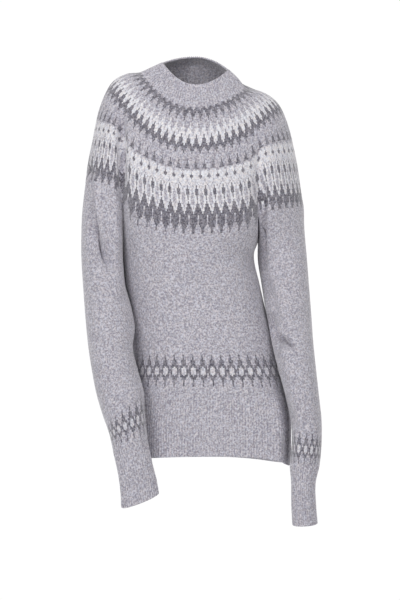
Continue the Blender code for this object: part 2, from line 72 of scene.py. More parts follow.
NeckRing = namedtuple("NeckRing", "row left_x right_x front_y back_y left_y right_y "
                      "front_z left_z right_z back_z left_crease right_crease arm_level start_x")
NECK_RINGS = [
    NeckRing(-18, -72, 55, -64, 62, 0, 0, 4, 48, 34, 62, 0, 0, 0, -2.0),
    NeckRing(-9, -92, 71, -74, 72, 0, 0, -18, 39, 19, 57, 0, 0, 0, -0.7),
    NeckRing(0, -112, 87, -87, 83, -1, 1, -39, 30, 0, 48, 0, 0, 0, 0.6),
    NeckRing(12, -138, 114, -97, 94, -2, 2, -66, 27, -6, 22, 0, 0, 0, 1.2),
    NeckRing(30, -171, 150, -106, 103, -4, 4, -110, 5, -32, -25, 7, 2, 0.1, 0.2),
    NeckRing(45, -192, 170, -112, 107, -6, 5, -146, -43, -80, -70, 15, 7, 0.5, 0.4),
    NeckRing(54, -199, 178, -114, 108, -8, 6, -167, -74, -114, -98, 20, 13, 0.75, 0.4),
    NeckRing(67, -204, 185, -116, 107, -10, 8, -198, -101, -148, -138, 26, 20, 0.75, 2.2),
    NeckRing(85, -214, 193, -117, 105, -12, 10, -240, -150, -203, -196, 31, 27, 0.7, 5.5),
    NeckRing(97, -218, 197, -116, 103, -14, 11, -270, -186, -228, -234, 33, 30, 0.6, 5.0),
]
NECK_POWER = 2.1

# The corner is the power of the front right quarter, squarer from the hem's seam down
BodyRing = namedtuple("BodyRing", "left_x right_x front_y back_y "
                      "front_z left_z right_z back_z start_x corner")
BODY_RINGS = [
    BodyRing(-146.5, 103.0, -108, 98, -331, -331, -331, -331, 1, 2.15),
    BodyRing(-143.5, 112.7, -104, 96, -372, -372, -372, -372, 8, 2.15),
    BodyRing(-136.0, 124.0, -101, 95, -420, -420, -420, -420, 18, 2.15),
    BodyRing(-132.0, 142.0, -101, 97, -476, -476, -476, -476, 27, 2.15),
    BodyRing(-131.0, 158.0, -105, 103, -530, -530, -530, -530, 34, 2.15),
    BodyRing(-134.0, 164.0, -109, 108, -578, -578, -578, -578, 37, 3.2),
    BodyRing(-138.5, 170.0, -112, 112, -638, -638, -638, -638, 37, 4.2),
    BodyRing(-140.5, 169.5, -113, 113, -697, -704, -715, -702, 37, 4.2),
]
HEM_SEAM_RING = 5
BODY_POWER = 2.15

Sleeve = namedtuple("Sleeve", "name side rings cuff_ring power band_z band_tilt")
SleeveRing = namedtuple("SleeveRing", "outer_x outer_z inner_x inner_z middle_y half_depth front_drop")
LEFT_RINGS = [
    SleeveRing(-224.2, -255, -146.6, -331, -22, 60, 0),
    SleeveRing(-224.6, -319, -142.8, -372, -34, 58, 0),
    SleeveRing(-220.4, -384, -131.5, -412, -49, 56, 0),
    SleeveRing(-215.6, -445, -123.5, -456, -61, 54, 0),
    SleeveRing(-210.9, -490, -127.3, -494, -70, 52, 0),
    SleeveRing(-204.3, -532, -118.5, -532, -83, 50, 0),
    SleeveRing(-194.8, -580, -106.5, -576, -97, 50, 0),
    SleeveRing(-182.4, -621, -103.6, -617, -106, 47, 0),
    SleeveRing(-169.9, -657, -100.5, -650, -111, 42, 0),
    SleeveRing(-163.4, -686, -98.3, -671, -114, 36, 2),
    SleeveRing(-153.9, -728, -89.8, -712, -116, 31, 3),
    SleeveRing(-149.0, -764, -82.0, -743, -117, 28, 4),
    SleeveRing(-147.6, -792, -78.0, -766, -118, 27, 5),
]
RIGHT_RINGS = [
    SleeveRing(198.6, -274, 110.5, -331, 6, 60, 0),
    SleeveRing(203.3, -331, 117.0, -372, -6, 58, 0),
    SleeveRing(207.1, -384, 122.5, -409, -22, 56, 0),
    SleeveRing(210.9, -437, 130.0, -448, -41, 54, 0),
    SleeveRing(214.0, -485, 137.0, -488, -60, 52, 0),
    SleeveRing(218.5, -530, 147.0, -530, -74, 50, 0),
    SleeveRing(224.2, -583, 160.6, -580, -82, 47, 0),
    SleeveRing(229.1, -631, 170.5, -625, -86, 44, 0),
    SleeveRing(229.1, -671, 173.8, -665, -88, 41, 0),
    SleeveRing(225.3, -712, 170.0, -709, -90, 37, 1),
    SleeveRing(217.4, -747, 172.5, -745, -91, 34, 2),
    SleeveRing(218.1, -789, 172.9, -787, -92, 34, 2),
    SleeveRing(221.0, -823, 174.8, -826, -92, 35, 3),
]
SLEEVES = [
    Sleeve("left", -1, LEFT_RINGS, 9, 2.1, -640.0, 38.0),
    Sleeve("right", 1, RIGHT_RINGS, 9, 2.1, -684.0, 1.0),
]
UNDERARM_LOW_Z = {-1: -287.0, 1: -291.0}

# Soft troughs, or ridges where the depth is negative, each along a path of x and z
Fold = namedtuple("Fold", "pieces side depth width path")
FOLDS = [
    Fold("yoke sleeve_left", "front", 15, 4.5, (
        (-214, -137), (-206, -213), (-197, -265), (-186, -298), (-173, -325), (-160, -344))),
    Fold("yoke sleeve_left", "front", 13, 9, (
        (-218, -180), (-211, -230), (-202, -275), (-190, -308), (-177, -332), (-167, -346))),
    Fold("sleeve_left", "front", 11, 5, ((-190, -288), (-173, -325), (-160, -344))),
    Fold("yoke sleeve_left", "front", -8, 6, ((-199, -171), (-189, -255), (-174, -295), (-163, -318))),
    Fold("yoke", "front", 8, 6, ((-148, -34), (-148, -118), (-147, -190))),
    Fold("sleeve_left", "front", 5, 9, ((-209, -469), (-171, -492), (-133, -500))),
    Fold("sleeve_left", "front", 3, 9, ((-196, -540), (-152, -532), (-114, -549))),
    Fold("sleeve_left", "front", -10, 11, ((-162, -200), (-161, -330), (-153, -400))),
    Fold("yoke sleeve_right", "front", 15, 6, ((120, -179), (119, -241), (118, -289), (120, -350))),
    Fold("sleeve_right", "front", 24, 7, ((112, -446), (133, -467), (158, -481), (180, -491))),
    Fold("sleeve_right", "front", 12, 8, ((128, -429), (138, -464), (146, -502))),
    Fold("sleeve_right", "front", -6, 8, ((153, -453), (169, -435), (198, -405))),
    Fold("sleeve_right", "front", 7, 9, ((122, -355), (135, -403), (146, -445))),
    Fold("sleeve_right", "front", -4, 10, ((158, -516), (166, -535), (184, -564))),
    Fold("sleeve_right", "front", 6, 8, ((160, -583), (182, -640), (198, -665))),
    Fold("sleeve_right", "front", -5, 9, ((170, -550), (184, -630), (187, -705))),
    Fold("body", "front", -14, 13, ((-128, -190), (-129, -310), (-121, -410))),
    Fold("body", "front", -12, 14, ((148, -575), (151, -620), (151, -700), (151, -790))),
    Fold("body", "front", 3, 16, ((98, -290), (30, -350))),
    Fold("body", "front", 3, 16, ((-130, -330), (-70, -390))),
    Fold("sleeve_left", "back", 5, 13, ((-200, -470), (-170, -462), (-140, -440))),
    Fold("sleeve_left", "back", 6, 12, ((-205, -250), (-185, -300), (-160, -330))),
    Fold("sleeve_right", "back", 5, 13, ((150, -455), (178, -468), (200, -490))),
    Fold("sleeve_right", "back", 6, 12, ((135, -280), (160, -325), (190, -350))),
    Fold("body", "back", 5, 18, ((-120, -300), (-80, -335), (-40, -350))),
    Fold("body", "back", 5, 18, ((95, -310), (60, -350), (20, -370))),
    Fold("body", "back", 5, 20, ((-110, -480), (0, -505), (90, -500))),
    Fold("body", "back", 4, 16, ((-90, -560), (0, -548), (120, -570))),
]
FOLD_EASE = 0.4
FOLD_FACING = {"front": 1, "back": -1}
FACING_EASE = 20.0

LOOP_SAMPLES = 1441
MEAN_SAMPLES = 200
NORMAL_SHARE_STEP = 0.004
NORMAL_KNOT_STEP = 1.0

# Knit: stitches round each piece, rows down it, and how far a stitch stands out of the cloth
YOKE_STITCHES = (288, 360, 480)
TAIL_ROWS = 4
TAIL_ROUND = 300
LAST_POINTS_ROW = 40
LEFT_POINTS_PACE = 0.9
RIGHT_POINTS_PACE = 0.5
BODY_STITCHES = 264
BODY_ROWS = 130
BODY_BAND_ROW = 101
SLEEVE_STITCHES = (144, 126, 108)
SLEEVE_ROW = 2.4
BAND_MARGIN_ROWS = 12
BAND_SHARE_ABOVE = 0.55
HEM_RIBS = 168
HEM_ROWS = 52
CUFF_RIBS = 42
COLLAR_RIBS = 108
COLLAR_ROWS = 18
PLAIN_RELIEF = (-0.3, 0.3)
RIB_RELIEF = (0.0, 0.9, 0.0, -0.9)
# Painted shade: a stitch's tone is lowered in rib valleys and raised on ribs, by the height of its rib
RIB_PAINTED_SHADE = 0.14
TONE_MIDDLE = 0.5
TONE_SPREAD = 0.22
UNEVENNESS = 0.07
V_DEPTH = 0.55
END_ANGLES = (0.35, 0.8, 1.3)
ZONE_JOINT = 0.4
INNER_COLUMN_STEP = 6
INNER_ROW_STEP = 5

# Charted repeats: how many rows, then one repeat of dark (D), light (L), pale (P) and grey (.)
COLLAR_CHART = [
    (1, "..DDD."), (1, ".DDDDD"), (1, "DDDDDD"), (2, "DDD.DD"), (3, "DD...D"), (4, "D....."),
]
POINTS_CHART = [
    (1, "......"), (4, "...L.."), (3, "..LLL."), (2, ".LLLLL"), (1, ".LLDLL"), (2, "LLLDLL"), (4, "LLDDDL"),
    (2, "LDDDDD"), (1, "DDDDDD"), (1, "DDD.DD"), (2, "DD...D"), (2, "D....."), (5, "......"),
]
DIAMOND_CHART = [
    (3, "....D..."), (3, "...DDD.."), (1, "..DDDDD."), (1, "........"), (1, "..LL.LL."),
    (2, ".LLLLLLL"), (1, "DLLLLLLL"), (2, "DDLLLLLD"), (1, "DLLLLLLL"), (3, "LLLL.LLL"), (1, "LLL.L.LL"),
    (1, "LL.LLL.L"), (2, "L.LLDLL."), (1, ".LLLDLLL"), (3, ".LLDDDLL"), (2, "..LDDDL."), (4, "..LLDLL."),
    (1, "..LLLLL."), (2, "..LLDLL."), (1, "..LDDDL."), (2, ".LLDDDLL"), (1, ".LDDDDDL"), (2, "LLDDDDDL"),
    (2, "LDDDDDDD"), (1, "DDDDDDDD"), (2, "DDDDLDDD"), (5, "DDDD.DDD"), (2, "DDD...DD"), (2, "DD.....D"),
]
OVAL_CHART = [
    (4, "D....."), (4, "DD...D"), (1, "DDD.DD"), (1, "PDD.DD"), (1, "PPD.DP"), (3, "PPDDDP"),
    (1, "PPD.DP"), (1, "PDD.DD"), (1, "DDD.DD"), (2, "DD...D"), (5, "D....."),
]
YOKE_CHARTS = (COLLAR_CHART, POINTS_CHART, DIAMOND_CHART)

# The studio, in metres and watts, and the camera, in metres with its lens in millimetres
Lamp = namedtuple("Lamp", "name place size power")
LAMPS = [
    Lamp("key", (-2.2, -3.6, 1.6), 1.5, 60),
    Lamp("fill", (2.0, -3.6, 1.8), 1.5, 33),
    Lamp("top", (0.0, -1.6, 2.4), 2.0, 17),
]
LIT_POINT = (0.0, 0.0, -0.35)
CAMERA_PLACE = (0, -12.0, -0.4028)
SENSOR_HEIGHT = 24.0
LENS = 252.6
FLOOR_Z = -1.5
FLOOR_REACH = 40
FLOOR_BACK = 8
PAPER = (0.9, 0.9, 0.9, 1.0)
WHITE = (1.0, 1.0, 1.0, 1.0)
FRONT_GLOW = 0.32
HORIZON_GLOW = 0.8
BACK_GLOW = 1.02
GLOW_FROM_Y = (-0.1, 0.5)
GLOW_FROM_Z = (0.06, 0.16)

# The mottle of the wool: noise per metre, and the weight of each scale. The tone, weighed in too, carries the
# painted shade of rib valleys
CLUMP_SCALE = 320
FIBRE_SCALE = 1100
TINT_SCALE = 240
CLUMP_WEIGHT = 3.0
FIBRE_WEIGHT = 1.6
TONE_AND_RIB_SHADE_WEIGHT = 0.8
CLUMP_DETAIL = 2
FIBRE_DETAIL = 3
TINT_DETAIL = 1
FIBRE_STRETCH = (1, 1, 0.45)
TINT_START = 0.4
TINT_CONTRAST = 5.0
BUMP_CLUMPS = 0.7
BUMP_STRENGTH = 0.5
BUMP_DISTANCE = 0.0012
WOOL_SURFACE = {
    "Roughness": 0.95, "Specular IOR Level": 0.15, "Sheen Weight": 0.6, "Sheen Roughness": 0.5,
}

# The colour sockets of a Mix node
MIX_FIRST, MIX_SECOND, MIX_RESULT = 6, 7, 2

YARN_CODES = {".": 0, "D": 1, "L": 2, "P": 3}
PALE_SHARE = 0.6

Finish = namedtuple("Finish", "deep pale")
GREY_YARN = Finish((0.305, 0.288, 0.345), (0.680, 0.664, 0.716))
DARK_YARN = Finish((0.100, 0.094, 0.120), (0.330, 0.318, 0.360))
LIGHT_YARN = Finish((0.610, 0.595, 0.650), (0.890, 0.880, 0.905))
WARM_TINT = (1.025, 0.997, 0.972)
COOL_TINT = (0.98, 0.997, 1.025)


def signed_power(values, power):
    """Raise to a power and keep the sign."""
    return np.sign(values) * np.abs(values) ** power


class Loop:
    """A closed loop that is walked by share of its length from a starting point."""

    def __init__(self, points, start_length):
        steps = np.linalg.norm(np.diff(points, axis=0), axis=1)
        self.lengths = np.concatenate([[0.0], np.cumsum(steps)])
        self.total = self.lengths[-1]
        self.points = points
        self.start_length = start_length

    def at(self, share):
        length = (self.start_length + np.asarray(share) * self.total) % self.total
        return np.stack([np.interp(length, self.lengths, self.points[:, axis]) for axis in range(3)], axis=-1)

    def share_of_x(self, x, on_front):
        """Share at which the front or back of an oval loop passes x, from minus a half to a half."""
        turn = np.linspace(-pi, pi, LOOP_SAMPLES)
        middle = (self.points[:, 0].min() + self.points[:, 0].max()) / 2
        quarter = ((np.cos(turn) > 0) == on_front) & ((np.sin(turn) > 0) == (x > middle))
        order = np.argsort(self.points[quarter, 0])
        length = np.interp(x, self.points[quarter, 0][order], self.lengths[quarter][order])
        return ((length - self.start_length) / self.total + 0.5) % 1.0 - 0.5


def oval_loop(ring, power):
    """A rounded oval round the trunk, begun at the back, with its own height at each of four sides."""
    turn = np.linspace(-pi, pi, LOOP_SAMPLES)
    sine, cosine = np.sin(turn), np.cos(turn)
    centre_x = (ring.left_x + ring.right_x) / 2
    half_width = (ring.right_x - ring.left_x) / 2
    on_front, on_right = cosine > 0, sine > 0
    power = np.where(on_front & on_right, getattr(ring, "corner", power), power)
    side_y = np.where(on_right, getattr(ring, "right_y", 0.0), getattr(ring, "left_y", 0.0))
    reach_y = np.where(on_front, -ring.front_y, ring.back_y)
    x = centre_x + half_width * signed_power(sine, 2 / power)
    y = -reach_y * signed_power(cosine, 2 / power) + side_y * sine ** 2
    end_z = np.where(on_front, ring.front_z, ring.back_z)
    side_z = np.where(on_right, ring.right_z, ring.left_z)
    z = end_z * cosine ** 2 + side_z * sine ** 2
    points = np.stack([x, y, z], axis=-1)
    steps = np.linalg.norm(np.diff(points, axis=0), axis=1)
    lengths = np.concatenate([[0.0], np.cumsum(steps)])
    front = np.abs(turn) <= pi / 2
    return Loop(points, np.interp(ring.start_x, x[front], lengths[front]))


def sleeve_loop(ring, side, power):
    """A rounded oval round an arm, begun at its outer point, counter-clockwise seen from above."""
    turn = np.linspace(0, 2 * pi, LOOP_SAMPLES)
    along = signed_power(np.cos(turn), 2 / power)
    depth = signed_power(np.sin(turn), 2 / power) * side
    x = (ring.outer_x + ring.inner_x) / 2 + (ring.outer_x - ring.inner_x) / 2 * along
    z = (ring.outer_z + ring.inner_z) / 2 + (ring.outer_z - ring.inner_z) / 2 * along
    y = ring.middle_y + ring.half_depth * depth
    z = z + ring.front_drop * depth
    return Loop(np.stack([x, y, z], axis=-1), 0.0)


def crease_shape(distance):
    """One at the bottom of an armpit crease, falling off smoothly on both sides."""
    return np.exp(-(np.sqrt(distance ** 2 + CREASE_ROUNDING ** 2) - CREASE_ROUNDING) / CREASE_WIDTH)


class NeckRow:
    """One ring of the neck loft, creased at the armpits and nearly level over each arm."""

    def __init__(self, ring):
        self.ring = ring
        self.loop = oval_loop(ring, NECK_POWER)

    def at(self, share):
        points = self.loop.at(share)
        left = self.ring.left_crease * crease_shape(points[..., 0] - LEFT_ARMPIT_X)
        right = self.ring.right_crease * crease_shape(points[..., 0] - RIGHT_ARMPIT_X)
        inward = np.where(points[..., 1] < 0, 1.0, -BACK_CREASE_SHARE)
        flat = np.clip(np.abs(points[..., 1]) / CREASE_FADE_DEPTH, 0, 1)
        points[..., 1] += (left + right) * inward * flat
        on_left = 1 / (1 + np.exp((points[..., 0] - LEFT_ARMPIT_X) / ARM_LEVEL_EASE))
        on_right = 1 / (1 + np.exp((RIGHT_ARMPIT_X - points[..., 0]) / ARM_LEVEL_EASE))
        drop = on_left * (self.ring.left_z - points[..., 2]) + on_right * (self.ring.right_z - points[..., 2])
        points[..., 2] += self.ring.arm_level * drop
        return points


NECK_ROWS = [NeckRow(ring) for ring in NECK_RINGS]
NECK_KNOTS = np.array([ring.row * ROW_HEIGHT for ring in NECK_RINGS])
LOWER_EDGE = NECK_ROWS[-1]
ARMPIT = {
    (side, on_front): LOWER_EDGE.loop.share_of_x(x, on_front)
    for side, x in ((-1, LEFT_ARMPIT_X), (1, RIGHT_ARMPIT_X))
    for on_front in (True, False)
}
LEFT_FRONT = ARMPIT[(-1, True)]
RIGHT_FRONT = ARMPIT[(1, True)]
RIGHT_BACK = ARMPIT[(1, False)] % 1.0
LEFT_BACK = ARMPIT[(-1, False)] % 1.0
LEFT_FRONT_NEXT = LEFT_FRONT + 1.0


def underarm(side, part, toward):
    """Curve under an arm from its front armpit at part 0 to the back one at 1, moved along x."""
    front = LOWER_EDGE.at(LEFT_FRONT if side < 0 else RIGHT_FRONT)
    back = LOWER_EDGE.at(LEFT_BACK if side < 0 else RIGHT_BACK)
    part = np.asarray(part)[..., None]
    points = front + (back - front) * part
    dip = np.sin(pi * part[..., 0]) ** UNDERARM_FULLNESS
    points[..., 2] += (UNDERARM_LOW_Z[side] - (front[2] + back[2]) / 2) * dip
    points[..., 0] += toward * UNDERARM_GAP / 2
    return points


def body_share_to_yoke(share):
    """Yoke share above a body share, and where on an underarm curve it lies, or minus one."""
    share = np.asarray(share) % 1.0
    panel, side = BODY_PANEL_SHARE, BODY_SIDE_SHARE
    knots = [0, panel, panel + side, 2 * panel + side, 1]
    yoke = np.interp(share, knots, [LEFT_FRONT, RIGHT_FRONT, RIGHT_BACK, LEFT_BACK, LEFT_FRONT_NEXT])
    right = (share - panel) / side
    left = 1 - (share - 2 * panel - side) / side
    return yoke, right, left


class BodyTop:
    """Top loop of the body: the yoke's front and back arcs and the two underarm curves."""

    def at(self, share):
        yoke, right, left = body_share_to_yoke(share)
        points = LOWER_EDGE.at(yoke)
        points = np.where(((right > 0) & (right < 1))[..., None], underarm(1, right.clip(0, 1), -1), points)
        return np.where(((left > 0) & (left < 1))[..., None], underarm(-1, left.clip(0, 1), 1), points)


class BodyRow:
    """One ring of the body loft, walked so that its panels hang below the yoke's arcs."""

    def __init__(self, ring):
        self.loop = oval_loop(ring, BODY_POWER)
        self.offset = BODY_PANEL_SHARE * LEFT_FRONT / (LEFT_FRONT - RIGHT_FRONT)

    def at(self, share):
        return self.loop.at(np.asarray(share) - self.offset)


def sleeve_share_to_yoke(side, share):
    """Yoke share above a sleeve share, and its place on the underarm curve beyond the arm's arc."""
    share = np.asarray(share) % 1.0
    start, end = (RIGHT_FRONT, RIGHT_BACK) if side > 0 else (LEFT_BACK, LEFT_FRONT_NEXT)
    yoke = start + (end - start) * np.clip(share / SLEEVE_ARM_SHARE, 0, 1)
    beyond = (share - SLEEVE_ARM_SHARE) / (1 - SLEEVE_ARM_SHARE)
    return yoke, (1 - beyond if side > 0 else beyond), beyond


class SleeveTop:
    """Top loop of a sleeve: the yoke's arc over the arm and the underarm curve."""

    def __init__(self, side):
        self.side = side

    def at(self, share):
        yoke, part, beyond = sleeve_share_to_yoke(self.side, share)
        below = underarm(self.side, part.clip(0, 1), self.side)
        return np.where((beyond > 0)[..., None], below, LOWER_EDGE.at(yoke))


class SleeveRow:
    """One ring of a sleeve loft, with its outer point in the middle of the arm's arc."""

    def __init__(self, ring, side, power):
        self.loop = sleeve_loop(ring, side, power)

    def at(self, share):
        return self.loop.at(np.asarray(share) - SLEEVE_ARM_SHARE / 2)


def round_samples(row):
    """Points spread evenly round one row."""
    return row.at(np.linspace(0, 1, MEAN_SAMPLES, endpoint=False))


class Loft:
    """Smooth surface through rows of points: at(share, knot) gives points of a grid."""

    def __init__(self, rows, knots, row_before=None, row_after=None):
        self.rows = rows
        self.knots = np.asarray(knots, float)
        self.row_before = row_before
        self.row_after = row_after

    def at(self, share, knot):
        """Points for each knot along the columns (first axis) and each share round (second axis)."""
        share = np.asarray(share, float)
        knot = np.broadcast_to(np.asarray(knot, float), np.broadcast_shapes(np.shape(knot), (1, len(share))))
        rows = np.array([row.at(share) for row in self.rows])
        gaps = np.diff(self.knots)[:, None, None]
        slopes = np.diff(rows, axis=0) / gaps
        tangents = np.empty_like(rows)
        weight = gaps[1:] / (gaps[1:] + gaps[:-1])
        tangents[1:-1] = weight * slopes[:-1] + (1 - weight) * slopes[1:]
        tangents[0] = slopes[0] if self.row_before is None else self.row_before(share, rows, gaps)
        tangents[-1] = slopes[-1] if self.row_after is None else self.row_after(share, rows, gaps)
        index = np.clip(np.searchsorted(self.knots, knot, side="right") - 1, 0, len(gaps) - 1)
        columns = np.arange(len(share))[None, :]
        step = (knot - self.knots[index])[..., None]
        width = np.diff(self.knots)[index][..., None]
        part = step / width
        first, second = rows[index, columns], rows[index + 1, columns]
        first_slope, second_slope = tangents[index, columns], tangents[index + 1, columns]
        return (first * (2 * part ** 3 - 3 * part ** 2 + 1) + second * (3 * part ** 2 - 2 * part ** 3)
                + first_slope * width * (part ** 3 - 2 * part ** 2 + part)
                + second_slope * width * (part ** 3 - part ** 2))


def ring_centre(ring):
    """Middle of a sleeve ring."""
    return np.array([(ring.outer_x + ring.inner_x) / 2, ring.middle_y, (ring.outer_z + ring.inner_z) / 2])


def body_loft():
    """Loft from the yoke's lower edge to the hem. Its knots are mean heights below the origin."""
    top = BodyTop()
    rows = [top] + [BodyRow(ring) for ring in BODY_RINGS]
    knots = [-round_samples(top)[:, 2].mean()]
    knots += [-(ring.front_z + ring.left_z + ring.right_z + ring.back_z) / 4 for ring in BODY_RINGS]

    def slope_at_top(share, points, gaps):
        yoke, right, left = body_share_to_yoke(share)
        under = ((right > 0) & (right < 1)) | ((left > 0) & (left < 1))
        above = NECK_ROWS[-2].at(yoke)
        yoke_gap = NECK_KNOTS[-1] - NECK_KNOTS[-2]
        through = (points[1] - above) / (gaps[0] + yoke_gap)
        return np.where(under[..., None], (points[1] - points[0]) / gaps[0], through)

    return Loft(rows, knots, row_before=slope_at_top)


def sleeve_loft(sleeve):
    """Loft from the yoke's lower edge to the cuff's end. Its knots are lengths along the arm."""
    top = SleeveTop(sleeve.side)
    rows = [top] + [SleeveRow(ring, sleeve.side, sleeve.power) for ring in sleeve.rings]
    centres = [round_samples(top).mean(axis=0)]
    centres += [ring_centre(ring) for ring in sleeve.rings]
    knots = np.concatenate([[0.0], np.cumsum(np.linalg.norm(np.diff(centres, axis=0), axis=1))])

    def slope_at_top(share, points, gaps):
        yoke, _, beyond = sleeve_share_to_yoke(sleeve.side, share)
        above = NECK_ROWS[-2].at(yoke)
        yoke_gap = NECK_KNOTS[-1] - NECK_KNOTS[-2]
        through = (points[1] - above) / (gaps[0] + yoke_gap)
        return np.where((beyond > 0)[..., None], (points[1] - points[0]) / gaps[0], through)

    return Loft(rows, knots, row_before=slope_at_top)


def neck_loft(body, sleeves):
    """Loft from the collar's fold to the yoke's lower edge. Its knots are heights of knitted rows."""

    def slope_at_end(share, points, gaps):
        share = np.asarray(share) % 1.0
        share = np.where(share > LEFT_FRONT % 1.0, share - 1.0, share)
        panel, side = BODY_PANEL_SHARE, BODY_SIDE_SHARE
        front = np.interp(share, [LEFT_FRONT, RIGHT_FRONT], [0, panel])
        back = np.interp(share, [RIGHT_BACK, LEFT_BACK], [panel + side, 2 * panel + side])
        slope = np.empty_like(points[-1])
        arcs = {
            "front": (share <= RIGHT_FRONT, body, front),
            "right": ((share > RIGHT_FRONT) & (share < RIGHT_BACK), sleeves[1], np.interp(
                share, [RIGHT_FRONT, RIGHT_BACK], [0, SLEEVE_ARM_SHARE])),
            "back": ((share >= RIGHT_BACK) & (share <= LEFT_BACK), body, back),
            "left": (share > LEFT_BACK, sleeves[0], np.interp(
                share, [LEFT_BACK, LEFT_FRONT_NEXT], [0, SLEEVE_ARM_SHARE])),
        }
        for inside, below, below_share in arcs.values():
            gap = below.knots[1] - below.knots[0]
            through = (below.rows[1].at(below_share) - points[-2]) / (gap + gaps[-1])
            slope[inside] = through[inside]
        return slope

    return Loft(NECK_ROWS, NECK_KNOTS, row_after=slope_at_end)


def near_path(place, path):
    """Distance of each place from a path of x and z, and the share of the path's length there."""
    path = np.array(path, float)
    lengths = np.linalg.norm(np.diff(path, axis=0), axis=1)
    before = np.concatenate([[0.0], np.cumsum(lengths)])
    nearest, share = np.full(place.shape[:-1], np.inf), np.zeros(place.shape[:-1])
    for start, end, length, passed in zip(path, path[1:], lengths, before):
        part = np.clip((place - start) @ (end - start) / length ** 2, 0, 1)
        distance = np.linalg.norm(place - start - part[..., None] * (end - start), axis=-1)
        share = np.where(distance < nearest, (passed + part * length) / before[-1], share)
        nearest = np.minimum(nearest, distance)
    return nearest, share


def fold_depth(piece, points):
    """How far the soft troughs of one piece press its points in."""
    depth = np.zeros(points.shape[:-1])
    middle_y = points[..., 1].mean(axis=-1, keepdims=True)
    for fold in FOLDS:
        if piece not in fold.pieces.split():
            continue
        distance, share = near_path(points[..., [0, 2]], fold.path)
        shape = np.exp(-(distance / fold.width) ** 2) * np.sin(pi * np.clip(share, 0.0, 1.0)) ** FOLD_EASE
        facing = np.clip((middle_y - points[..., 1]) * FOLD_FACING[fold.side] / FACING_EASE, 0, 1)
        depth += fold.depth * shape * facing
    return depth


def surface(piece, loft, share, knot):
    """Points of a loft with its soft troughs, and the outward normals there."""
    across = loft.at(share + NORMAL_SHARE_STEP, knot) - loft.at(share - NORMAL_SHARE_STEP, knot)
    down = loft.at(share, knot + NORMAL_KNOT_STEP) - loft.at(share, knot - NORMAL_KNOT_STEP)
    normals = np.cross(down, across)
    normals /= np.linalg.norm(normals, axis=-1, keepdims=True)
    points = loft.at(share, knot)
    return points - normals * fold_depth(piece, points)[..., None], normals


def chart_rows(chart, stitches):
    """Yarn codes of a repeat, as one row for each knitted row and one column for each stitch."""
    rows = [[YARN_CODES[letter] for letter in letters] for count, letters in chart for _ in range(count)]
    return np.array(rows)[:, np.arange(stitches) % len(rows[0])]


